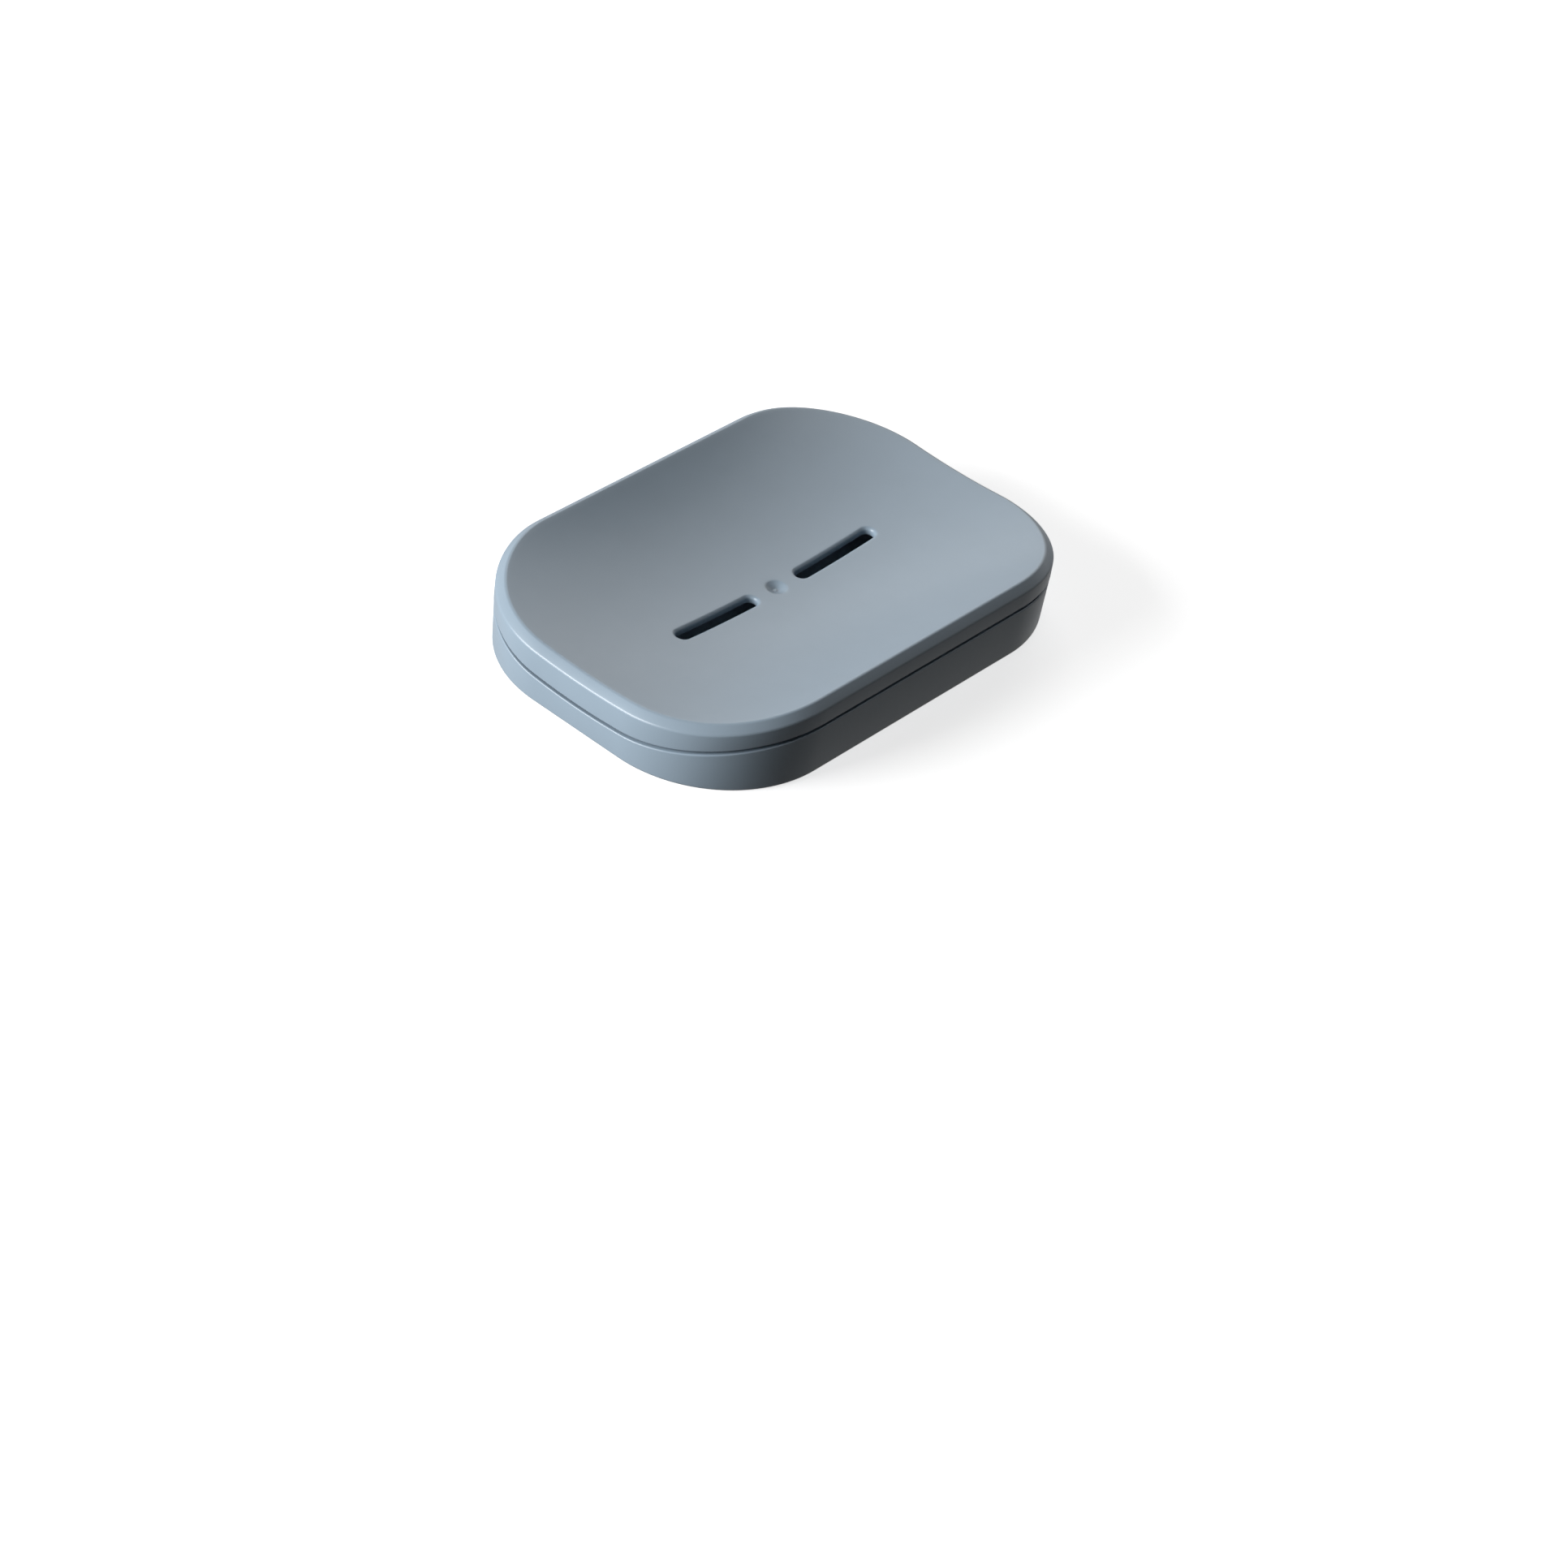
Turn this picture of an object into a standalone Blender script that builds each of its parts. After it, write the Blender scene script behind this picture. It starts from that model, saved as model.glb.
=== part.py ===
"""Soap dish in two moulded trays: a dished soap tray with drain slots that lies on a water tray.

Metres, +Z up. The dish stands on the plane z = 0, its length runs along X and its centre is over
the origin. The soap tray lifts off straight up. Both trays share one rounded outline. The soap tray's
rim and the seam between the trays are high along the long sides and low along the short ones.
"""

import math

import bmesh
import bpy
from mathutils import Vector

# Outline of the whole dish, seen from above
LENGTH = 0.136
WIDTH = 0.0925
CORNER_RADIUS = 0.0325

# Heights above the table, in the middle of the long and of the short sides
RIM_LONG_SIDE = 0.0206
RIM_SHORT_SIDE = 0.0157
SEAM_LONG_SIDE = 0.0144
SEAM_SHORT_SIDE = 0.0078

# Soap tray
DISH_CENTRE_HEIGHT = 0.0100
PLATE_THICKNESS = 0.0020
SOAP_WALL = 0.0020
CHAMFER_INSET = 0.0022
CHAMFER_DROP = 0.0019
RIM_ROUNDING = 0.0005
CREASE_ROUNDING = 0.0002
LIP_ROUNDING = 0.0003
INNER_ROUNDING = 0.0004
UNDERSIDE_ROUNDING = 0.0009

# Drain slots, in line along the length
SLOT_LENGTH = 0.0271
SLOT_WIDTH = 0.0036
SLOT_SPACING = 0.0420
SLOT_LIP_RADIUS = 0.0009

# Gate marks, where the plastic enters the mould: between the slots, and under the water tray
GATE_MARK_DIAMETER = 0.0055
GATE_MARK_DEPTH = 0.0008
GATE_MARK_TIP_DIAMETER = 0.0006

# Water tray
SEAM_GAP = 0.0010
WATER_WALL = 0.0020
FLOOR_THICKNESS = 0.0019
WATER_TRAY_SETBACK = 0.0001
WALL_DRAFT = 0.0005
FOOT_ROUNDING = 0.0010
FOOT_WIDTH = 0.0050
FOOT_RECESS = 0.0006
FLOOR_FILLET = 0.0030
EDGE_ROUNDING = 0.0003

# Support ribs of the water tray, which carry and centre the soap tray
RIB_THICKNESS = 0.0018
RIB_REACH = 0.0095
RIB_TOP_INSET = 0.0042
RIB_LEAD_IN = 0.0018
RIB_STEP_DOWN = 0.0010
RIB_PLACE_LONG_SIDE = 0.0260
RIB_PLACE_SHORT_SIDE = 0.0090
SIDE_CLEARANCE = 0.0004
REST_GAP = 0.0003

# How far a cutter runs past the faces it cuts
OVERRUN = 0.0004

# Shares of the way from the centre to the plate's edge at which the dish has a ring of points
DISH_RING_SHARES = (0.11, 0.22, 0.33, 0.44, 0.55, 0.66, 0.77, 0.88)
UNDERSIDE_RING_SHARES = (0.82, 0.60, 0.40, 0.20)
FLOOR_RING_SHARES = (0.35, 0.75)

# Counts of steps
SHORT_SIDE_STEPS = 4
CORNER_STEPS = 15
LONG_SIDE_STEPS = 5
ROUND_STEPS = 3
FLOOR_FILLET_STEPS = 4
SLOT_END_STEPS = 10
SLOT_LIP_STEPS = 4
RIB_TOP_STEPS = 4
GATE_MARK_SEGMENTS = 40

SLOT_LIP_START = math.radians(25)
SMOOTH_ANGLE = math.radians(35)

SOAP_TRAY_COLOUR = (0.33, 0.38, 0.43, 1.0)
WATER_TRAY_COLOUR = (0.32, 0.37, 0.42, 1.0)
MOULDED_ROUGHNESS = 0.42


def clear_scene():
    """Removes every object that the file opened with."""
    for obj in list(bpy.data.objects):
        bpy.data.objects.remove(obj, do_unlink=True)


def moulded_plastic(name, colour):
    """A matte moulded polypropylene."""
    material = bpy.data.materials.new(name)
    material.use_nodes = True
    shader = material.node_tree.nodes["Principled BSDF"]
    shader.inputs["Base Color"].default_value = colour
    shader.inputs["Roughness"].default_value = MOULDED_ROUGHNESS
    shader.inputs["Metallic"].default_value = 0.0
    return material


# The outline and the heights that both trays share


def outline(inset):
    """The rounded rectangle of the dish, set in by `inset`, as (x, y) points that run anticlockwise."""
    radius = CORNER_RADIUS - inset
    centre_x = LENGTH / 2 - CORNER_RADIUS
    centre_y = WIDTH / 2 - CORNER_RADIUS
    quarter = []
    for step in range(SHORT_SIDE_STEPS):
        quarter.append((centre_x + radius, centre_y * step / SHORT_SIDE_STEPS))
    for step in range(CORNER_STEPS + 1):
        turn = math.pi / 2 * step / CORNER_STEPS
        quarter.append((centre_x + radius * math.cos(turn), centre_y + radius * math.sin(turn)))
    for step in range(1, LONG_SIDE_STEPS + 1):
        quarter.append((centre_x * (1 - step / LONG_SIDE_STEPS), centre_y + radius))
    half = quarter + [(-x, y) for x, y in reversed(quarter[:-1])]
    return half + [(x, -y) for x, y in reversed(half[1:-1])]


def between_sides(short_side, long_side, y_share):
    """A height that is `short_side` over the middle line and grows to `long_side` over the long sides."""
    return short_side + (long_side - short_side) * y_share ** 2


def dish_height(x, y):
    """Height of the plate's top: a trough across the width that also rises towards its two ends."""
    x_share = x / (LENGTH / 2 - CHAMFER_INSET)
    y_share = y / (WIDTH / 2 - CHAMFER_INSET)
    middle = between_sides(DISH_CENTRE_HEIGHT, RIM_LONG_SIDE, y_share)
    end = between_sides(RIM_SHORT_SIDE, RIM_LONG_SIDE, y_share)
    return middle + (end - middle) * x_share ** 2


def seam_height(y_share):
    """Height of the soap tray's lower edge."""
    return between_sides(SEAM_SHORT_SIDE, SEAM_LONG_SIDE, y_share)


# Rings of points and the lofts between them


def rim_ring(inset, drop):
    """A ring on the outline that runs `drop` below the plate's edge."""
    edge = outline(CHAMFER_INSET)
    heights = [dish_height(x, y) - drop for x, y in edge]
    return [Vector((x, y, height)) for (x, y), height in zip(outline(inset), heights)]


def seam_ring(inset, drop=0):
    """A ring on the outline that runs `drop` below the seam."""
    half_width = WIDTH / 2 - inset
    return [Vector((x, y, seam_height(y / half_width) - drop)) for x, y in outline(inset)]


def flat_ring(inset, height, share=1):
    """A level ring on the outline, or on a smaller copy of it."""
    return [Vector((x * share, y * share, height)) for x, y in outline(inset)]


def dish_ring(share, drop=0, inset=CHAMFER_INSET):
    """A ring on the dish, `drop` below its top."""
    points = [(x * share, y * share) for x, y in outline(inset)]
    return [Vector((x, y, dish_height(x, y) - drop)) for x, y in points]


def soft_corner(before, corner, after, size, steps):
    """Rings that round one corner of a profile, over `size` on either side of it."""
    rings = []
    for step in range(steps + 1):
        t = step / steps
        ring = []
        for point_before, point, point_after in zip(before, corner, after):
            start = point + (point_before - point).normalized() * size
            end = point + (point_after - point).normalized() * size
            ring.append(start * (1 - t) ** 2 + point * (2 * t * (1 - t)) + end * t ** 2)
        rings.append(ring)
    return rings


def soft_profile(corners):
    """The rings of a profile given as (ring, rounding, steps), with its first and last ring kept."""
    rings = [corners[0][0]]
    for before, here, after in zip(corners, corners[1:], corners[2:]):
        corner, size, steps = here
        rings += soft_corner(before[0], corner, after[0], size, steps) if size else [corner]
    rings.append(corners[-1][0])
    return rings


def loft(name, rings, first_centre=None, last_centre=None):
    """A closed object over the rings, with a fan to each centre point or a flat cap where none is given."""
    mesh = bpy.data.meshes.new(name)
    bm = bmesh.new()
    loops = [[bm.verts.new(point) for point in ring] for ring in rings]
    for lower, upper in zip(loops, loops[1:]):
        for i in range(len(lower)):
            j = (i + 1) % len(lower)
            bm.faces.new((lower[i], lower[j], upper[j], upper[i]))
    for loop, centre in ((loops[0], first_centre), (loops[-1], last_centre)):
        if centre is None:
            bm.faces.new(loop)
            continue
        hub = bm.verts.new(centre)
        for i in range(len(loop)):
            bm.faces.new((hub, loop[i], loop[(i + 1) % len(loop)]))
    bmesh.ops.recalc_face_normals(bm, faces=bm.faces)
    bm.to_mesh(mesh)
    bm.free()
    return add_object(name, mesh)


def add_object(name, mesh):
    """Puts a mesh into the scene under its name."""
    obj = bpy.data.objects.new(name, mesh)
    bpy.context.scene.collection.objects.link(obj)
    return obj


def finish(obj, material):
    """Smooth faces with sharp creases, and the material."""
    obj.data.materials.append(material)
    obj.data.shade_smooth()
    obj.data.set_sharp_from_angle(angle=SMOOTH_ANGLE)


def combine(obj, tool, operation):
    """Cuts or joins a helper object, which stays hidden from the render."""
    tool.hide_render = True
    tool.display_type = "WIRE"
    modifier = obj.modifiers.new(tool.name, "BOOLEAN")
    modifier.operation = operation
    modifier.solver = "EXACT"
    modifier.object = tool


def gate_mark_cutter(name, surface_height, opens):
    """A shallow cone that dents a level surface, and opens upwards (1) or downwards (-1)."""
    tip_radius = GATE_MARK_TIP_DIAMETER / 2
    slope = (GATE_MARK_DIAMETER / 2 - tip_radius) / GATE_MARK_DEPTH
    mesh = bpy.data.meshes.new(name)
    bm = bmesh.new()
    bmesh.ops.create_cone(
        bm,
        cap_ends=True,
        segments=GATE_MARK_SEGMENTS,
        radius1=tip_radius,
        radius2=tip_radius + slope * (GATE_MARK_DEPTH + OVERRUN),
        depth=GATE_MARK_DEPTH + OVERRUN,
    )
    bmesh.ops.scale(bm, vec=(1, 1, opens), verts=bm.verts)
    bmesh.ops.recalc_face_normals(bm, faces=bm.faces)
    bm.to_mesh(mesh)
    bm.free()
    cutter = add_object(name, mesh)
    cutter.location.z = surface_height + opens * (OVERRUN - GATE_MARK_DEPTH) / 2
    return cutter


# The soap tray


def inner_crease_drop():
    """How far the inside of the crease lies below it, when the wall keeps its thickness round the bend."""
    bend = math.atan2(CHAMFER_INSET, CHAMFER_DROP)
    return SOAP_WALL * math.tan(bend / 2)


def soap_tray_shell():
    """The dished plate with its chamfer and wall, one thickness of plastic throughout."""
    inner_drop = inner_crease_drop()
    inner_rim_inset = CHAMFER_INSET + inner_drop
    profile = [
        (dish_ring(DISH_RING_SHARES[-1]), 0, 0),
        (rim_ring(CHAMFER_INSET, 0), RIM_ROUNDING, ROUND_STEPS),
        (rim_ring(0, CHAMFER_DROP), CREASE_ROUNDING, ROUND_STEPS),
        (seam_ring(0), LIP_ROUNDING, ROUND_STEPS),
        (seam_ring(SOAP_WALL), INNER_ROUNDING, ROUND_STEPS),
        (rim_ring(SOAP_WALL, CHAMFER_DROP + inner_drop), INNER_ROUNDING, ROUND_STEPS),
        (dish_ring(1, PLATE_THICKNESS, inner_rim_inset), UNDERSIDE_ROUNDING, ROUND_STEPS),
        (dish_ring(UNDERSIDE_RING_SHARES[0], PLATE_THICKNESS), 0, 0),
    ]
    rings = [dish_ring(share) for share in DISH_RING_SHARES[:-1]]
    rings += soft_profile(profile)
    rings += [dish_ring(share, PLATE_THICKNESS) for share in UNDERSIDE_RING_SHARES[1:]]
    top = Vector((0, 0, DISH_CENTRE_HEIGHT))
    bottom = Vector((0, 0, DISH_CENTRE_HEIGHT - PLATE_THICKNESS))
    return loft("soap_tray", rings, top, bottom)


def stadium(centre_x, half_length, half_width):
    """A slot's outline: two half circles joined by straight sides."""
    points = []
    for end in (1, -1):
        for step in range(SLOT_END_STEPS + 1):
            turn = math.pi * (step / SLOT_END_STEPS - 0.5)
            x = centre_x + end * (half_length - half_width + half_width * math.cos(turn))
            points.append((x, end * half_width * math.sin(turn)))
    return points


def slot_ring(centre_x, growth, lift):
    """A ring of the slot's cutter, `growth` wider than its throat and `lift` above the dish."""
    points = stadium(centre_x, SLOT_LENGTH / 2 + growth, SLOT_WIDTH / 2 + growth)
    return [Vector((x, y, dish_height(x, y) + lift)) for x, y in points]


def slot_cutter(name, centre_x):
    """The drain slot with its rounded lip, which follows the dish."""
    lip_depth_at_start = SLOT_LIP_RADIUS * (1 - math.cos(SLOT_LIP_START))
    rise = OVERRUN + lip_depth_at_start
    flare = SLOT_LIP_RADIUS * (1 - math.sin(SLOT_LIP_START)) + rise / math.tan(SLOT_LIP_START)
    rings = [slot_ring(centre_x, flare, OVERRUN)]
    for step in range(SLOT_LIP_STEPS + 1):
        turn = SLOT_LIP_START + (math.pi / 2 - SLOT_LIP_START) * step / SLOT_LIP_STEPS
        growth = SLOT_LIP_RADIUS * (1 - math.sin(turn))
        depth = SLOT_LIP_RADIUS * (1 - math.cos(turn))
        rings.append(slot_ring(centre_x, growth, -depth))
    rings.append(slot_ring(centre_x, 0, -PLATE_THICKNESS - OVERRUN))
    return loft(name, rings)


def build_soap_tray():
    """The lift-off upper tray."""
    tray = soap_tray_shell()
    combine(tray, slot_cutter("left_slot_cutter", -SLOT_SPACING / 2), "DIFFERENCE")
    combine(tray, slot_cutter("right_slot_cutter", SLOT_SPACING / 2), "DIFFERENCE")
    combine(tray, gate_mark_cutter("top_gate_mark", DISH_CENTRE_HEIGHT, 1), "DIFFERENCE")
    finish(tray, moulded_plastic("soap_tray_plastic", SOAP_TRAY_COLOUR))


# The water tray


def floor_height():
    """Height of the water tray's floor."""
    return FOOT_RECESS + FLOOR_THICKNESS


def water_tray_shell():
    """The lower tray: a floor on a flat foot, and a wall that rises to the seam."""
    inside = WATER_TRAY_SETBACK + WATER_WALL
    foot_inset = WATER_TRAY_SETBACK + WALL_DRAFT
    recess_inset = foot_inset + FOOT_WIDTH
    profile = [
        (flat_ring(inside, floor_height(), FLOOR_RING_SHARES[-1]), 0, 0),
        (flat_ring(inside + WALL_DRAFT, floor_height()), FLOOR_FILLET, FLOOR_FILLET_STEPS),
        (seam_ring(inside, SEAM_GAP), EDGE_ROUNDING, ROUND_STEPS),
        (seam_ring(WATER_TRAY_SETBACK, SEAM_GAP), EDGE_ROUNDING, ROUND_STEPS),
        (flat_ring(foot_inset, 0), FOOT_ROUNDING, ROUND_STEPS),
        (flat_ring(recess_inset, 0), 0, 0),
        (flat_ring(recess_inset + FOOT_RECESS, FOOT_RECESS), 0, 0),
    ]
    rings = [flat_ring(inside, floor_height(), share) for share in FLOOR_RING_SHARES[:-1]]
    rings += soft_profile(profile)
    top = Vector((0, 0, floor_height()))
    bottom = Vector((0, 0, FOOT_RECESS))
    return loft("water_tray", rings, top, bottom)


def rib_face(place):
    """One side of a rib, as points. `place` turns a distance from the outline into (x, y)."""
    buried = WATER_TRAY_SETBACK + WATER_WALL / 2
    free_edge = SOAP_WALL + SIDE_CLEARANCE
    seam = seam_height(place(0)[1] / (WIDTH / 2))
    profile = [(buried, floor_height() - FLOOR_THICKNESS / 2)]
    profile.append((RIB_REACH, floor_height() - FLOOR_THICKNESS / 2))
    for step in range(RIB_TOP_STEPS + 1):
        inset = RIB_REACH + (RIB_TOP_INSET - RIB_REACH) * step / RIB_TOP_STEPS
        profile.append((inset, dish_height(*place(inset)) - PLATE_THICKNESS - REST_GAP))
    profile.append((free_edge, seam + RIB_LEAD_IN))
    profile.append((free_edge, seam - SEAM_GAP - RIB_STEP_DOWN))
    profile.append((buried, seam - SEAM_GAP - RIB_STEP_DOWN))
    return [Vector((*place(inset), height)) for inset, height in profile]


def rib_places():
    """For each rib, the two functions that place its two sides."""
    half_length = LENGTH / 2
    half_width = WIDTH / 2
    places = []
    for end in (1, -1):
        for along in (RIB_PLACE_LONG_SIDE, -RIB_PLACE_LONG_SIDE):
            sides = (along - RIB_THICKNESS / 2, along + RIB_THICKNESS / 2)
            places.append([lambda inset, e=end, s=s: (s, e * (half_width - inset)) for s in sides])
        for along in (RIB_PLACE_SHORT_SIDE, -RIB_PLACE_SHORT_SIDE):
            sides = (along - RIB_THICKNESS / 2, along + RIB_THICKNESS / 2)
            places.append([lambda inset, e=end, s=s: (e * (half_length - inset), s) for s in sides])
    return places


def support_ribs():
    """Eight upright ribs inside the wall, whose tops follow the underside of the soap tray."""
    mesh = bpy.data.meshes.new("support_ribs")
    bm = bmesh.new()
    for near, far in rib_places():
        first = [bm.verts.new(point) for point in rib_face(near)]
        second = [bm.verts.new(point) for point in rib_face(far)]
        bm.faces.new(first)
        bm.faces.new(list(reversed(second)))
        for i in range(len(first)):
            j = (i + 1) % len(first)
            bm.faces.new((first[j], first[i], second[i], second[j]))
    bmesh.ops.recalc_face_normals(bm, faces=bm.faces)
    bm.to_mesh(mesh)
    bm.free()
    return add_object("support_ribs", mesh)


def build_water_tray():
    """The lower tray that catches what drains and carries the soap tray."""
    tray = water_tray_shell()
    combine(tray, support_ribs(), "UNION")
    combine(tray, gate_mark_cutter("bottom_gate_mark", FOOT_RECESS, -1), "DIFFERENCE")
    finish(tray, moulded_plastic("water_tray_plastic", WATER_TRAY_COLOUR))


def main():
    clear_scene()
    build_water_tray()
    build_soap_tray()


if __name__ == "__main__":
    main()
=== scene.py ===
"""The soap dish as it looks: two moulded trays over the CAD frame, a camera and a plain studio.

Everything is in metres in the CAD's own frame: the dish stands on z = 0, its length runs along X
and its centre is over the origin. The soap tray lies on the water tray and lifts off straight up.
"""

import logging
import math
from collections.abc import Callable
from dataclasses import dataclass, field
from enum import Enum

import bmesh
import bpy
from bmesh.types import BMEdge, BMesh, BMVert
from mathutils import Matrix, Quaternion, Vector


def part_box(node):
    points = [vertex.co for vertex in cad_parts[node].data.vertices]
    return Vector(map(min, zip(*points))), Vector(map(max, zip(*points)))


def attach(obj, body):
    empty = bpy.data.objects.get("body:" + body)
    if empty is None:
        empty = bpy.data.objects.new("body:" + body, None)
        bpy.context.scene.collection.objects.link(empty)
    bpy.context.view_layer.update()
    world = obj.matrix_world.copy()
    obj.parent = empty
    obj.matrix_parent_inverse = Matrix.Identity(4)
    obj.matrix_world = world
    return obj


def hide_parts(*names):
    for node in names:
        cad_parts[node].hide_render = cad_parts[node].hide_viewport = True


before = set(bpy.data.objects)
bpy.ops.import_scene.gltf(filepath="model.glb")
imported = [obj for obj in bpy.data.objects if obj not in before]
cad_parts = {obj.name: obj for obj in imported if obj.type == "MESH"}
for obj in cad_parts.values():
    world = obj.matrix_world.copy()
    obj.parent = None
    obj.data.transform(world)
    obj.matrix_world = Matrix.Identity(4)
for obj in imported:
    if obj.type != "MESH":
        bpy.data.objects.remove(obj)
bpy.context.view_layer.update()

MM = 0.001
MERGE_DISTANCE = 0.001 * MM
QUARTER_TURN = math.pi / 2

# The sRGB curve: straight up to a knee, and a power above it.
SRGB_KNEE = 0.04045
SRGB_SLOPE = 12.92
SRGB_OFFSET = 0.055
SRGB_POWER = 2.4

# A Mix node's colour sockets share their names with its number sockets, so they go by number.
MIX_FACTOR = 0
MIX_FIRST_COLOUR = 6
MIX_SECOND_COLOUR = 7
MIX_RESULT_COLOUR = 2

Place = Callable[[Vector], Vector]
log = logging.getLogger("soap_dish")


class Body(Enum):
    """The CAD bodies that the pieces ride on."""

    WATER_TRAY = "water_tray"
    SOAP_TRAY = "soap_tray"


# Colours and materials


def colour(code: str) -> tuple[float, float, float, float]:
    """Turns an sRGB hex value to the linear colour that a shader takes.

    Args:
        code: Six hex digits.

    Returns:
        Red, green, blue and an alpha of one.
    """
    linear = []
    for channel in bytes.fromhex(code):
        share = channel / 255
        if share <= SRGB_KNEE:
            linear.append(share / SRGB_SLOPE)
        else:
            linear.append(((share + SRGB_OFFSET) / (1 + SRGB_OFFSET)) ** SRGB_POWER)
    return (*linear, 1.0)


def add_node(
    tree: bpy.types.NodeTree,
    kind: str,
    settings: dict[str, object] | None = None,
    values: dict[str | int, object] | None = None,
    links: dict[str | int, bpy.types.NodeSocket] | None = None,
) -> bpy.types.Node:
    """Adds a node to a material.

    Args:
        tree: The material's node tree.
        kind: The node's type name.
        settings: Options of the node, by name.
        values: Input values, by socket.
        links: Output sockets of other nodes that feed this one's inputs, by socket.

    Returns:
        The new node.
    """
    node = tree.nodes.new(kind)
    for name, value in (settings or {}).items():
        setattr(node, name, value)
    for socket, value in (values or {}).items():
        node.inputs[socket].default_value = value
    for socket, source in (links or {}).items():
        tree.links.new(source, node.inputs[socket])
    return node


@dataclass(frozen=True)
class MouldedPolypropylene:
    """Coloured polypropylene from a spark-eroded steel mould.

    The mould's texture gives a fine even grain that keeps highlights soft. The pigment is spread
    a little unevenly, and years of handling leave the gloss slightly patchy. The real grain is
    finer than the one here, which is drawn as coarse as it needs to show.
    """

    name: str
    base: str
    grain: float = 0.45 * MM
    grain_detail: float = 2.0
    grain_depth: float = 0.0025 * MM
    pigment_patch: float = 9 * MM
    pigment_detail: float = 3.0
    colour_spread: float = 0.035
    wear_patch: float = 3 * MM
    wear_detail: float = 4.0
    detail_strength: float = 0.5
    roughness: float = 0.31
    roughness_spread: float = 0.04
    ior: float = 1.49

    def build(self) -> bpy.types.Material:
        """Builds the material.

        Returns:
            The material, ready to be put on a piece.
        """
        material = bpy.data.materials.new(self.name)
        material.use_nodes = True
        tree = material.node_tree
        tree.nodes.clear()
        place = add_node(tree, "ShaderNodeTexCoord").outputs["Object"]
        grain = self._noise(tree, place, self.grain, self.grain_detail)
        bump = add_node(
            tree,
            "ShaderNodeBump",
            values={"Strength": 1.0, "Distance": self.grain_depth},
            links={"Height": grain},
        )
        shader = add_node(
            tree,
            "ShaderNodeBsdfPrincipled",
            values={"IOR": self.ior, "Metallic": 0.0},
            links={
                "Base Color": self._pigment(tree, place),
                "Roughness": self._gloss(tree, place),
                "Normal": bump.outputs["Normal"],
            },
        )
        add_node(tree, "ShaderNodeOutputMaterial", links={"Surface": shader.outputs["BSDF"]})
        return material

    def _noise(
        self,
        tree: bpy.types.NodeTree,
        place: bpy.types.NodeSocket,
        size: float,
        detail: float,
    ) -> bpy.types.NodeSocket:
        """Adds a soft noise.

        Args:
            tree: The material's node tree.
            place: The coordinates that it reads.
            size: About how wide its blobs are.
            detail: How many finer layers it has.

        Returns:
            A socket with values from 0 to 1.
        """
        noise = add_node(
            tree,
            "ShaderNodeTexNoise",
            values={"Scale": 1 / size, "Detail": detail, "Roughness": self.detail_strength},
            links={"Vector": place},
        )
        return noise.outputs["Fac"]

    def _pigment(
        self, tree: bpy.types.NodeTree, place: bpy.types.NodeSocket
    ) -> bpy.types.NodeSocket:
        """Adds the plastic's colour, a little lighter and darker in wide soft patches.

        Args:
            tree: The material's node tree.
            place: The coordinates that the patches read.

        Returns:
            The colour's socket.
        """
        patches = self._noise(tree, place, self.pigment_patch, self.pigment_detail)
        shade = add_node(
            tree,
            "ShaderNodeMapRange",
            values={"To Min": 1 - self.colour_spread, "To Max": 1 + self.colour_spread},
            links={"Value": patches},
        )
        tinted = add_node(
            tree,
            "ShaderNodeVectorMath",
            settings={"operation": "SCALE"},
            values={0: colour(self.base)[:3]},
            links={"Scale": shade.outputs["Result"]},
        )
        return tinted.outputs["Vector"]

    def _gloss(
        self, tree: bpy.types.NodeTree, place: bpy.types.NodeSocket
    ) -> bpy.types.NodeSocket:
        """Adds the roughness, which is uneven where the surface has been handled.

        Args:
            tree: The material's node tree.
            place: The coordinates that the wear reads.

        Returns:
            The roughness's socket.
        """
        wear = self._noise(tree, place, self.wear_patch, self.wear_detail)
        gloss = add_node(
            tree,
            "ShaderNodeMapRange",
            values={
                "To Min": self.roughness - self.roughness_spread,
                "To Max": self.roughness + self.roughness_spread,
            },
            links={"Value": wear},
        )
        return gloss.outputs["Result"]


# Mesh helpers


def at_height(point: Vector, height: float) -> Vector:
    """The point above or below another one, at a height."""
    return Vector((point.x, point.y, height))


def add_vert(bm: BMesh, place: Vector) -> BMVert:
    """Adds a loose vertex, from which a chain of edges starts."""
    return bmesh.ops.create_vert(bm, co=place)["vert"][0]


def quarter_arc(bm: BMesh, start: BMVert, centre: Vector, steps: int) -> BMVert:
    """Spins a chain of edges a quarter turn anticlockwise round a vertical axis.

    Args:
        bm: The mesh.
        start: The vertex that the chain starts from.
        centre: A point on the axis.
        steps: How many edges the chain has.

    Returns:
        The chain's last vertex.
    """
    spun = bmesh.ops.spin(
        bm,
        geom=[start],
        cent=centre,
        axis=(0, 0, 1),
        dvec=(0, 0, 0),
        angle=QUARTER_TURN,
        steps=steps,
        use_merge=False,
        use_duplicate=False,
    )
    return next(part for part in spun["geom_last"] if isinstance(part, BMVert))


def straight(bm: BMesh, start: BMVert, end: Vector, steps: int) -> BMVert:
    """Extrudes a straight chain of equal edges.

    Args:
        bm: The mesh.
        start: The vertex that the chain starts from.
        end: Where it ends.
        steps: How many edges the chain has.

    Returns:
        The chain's last vertex.
    """
    stride = (end - start.co) / steps
    here = start
    for _ in range(steps):
        there = bmesh.ops.extrude_vert_indiv(bm, verts=[here])["verts"][0]
        there.co += stride
        here = there
    return here


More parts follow.
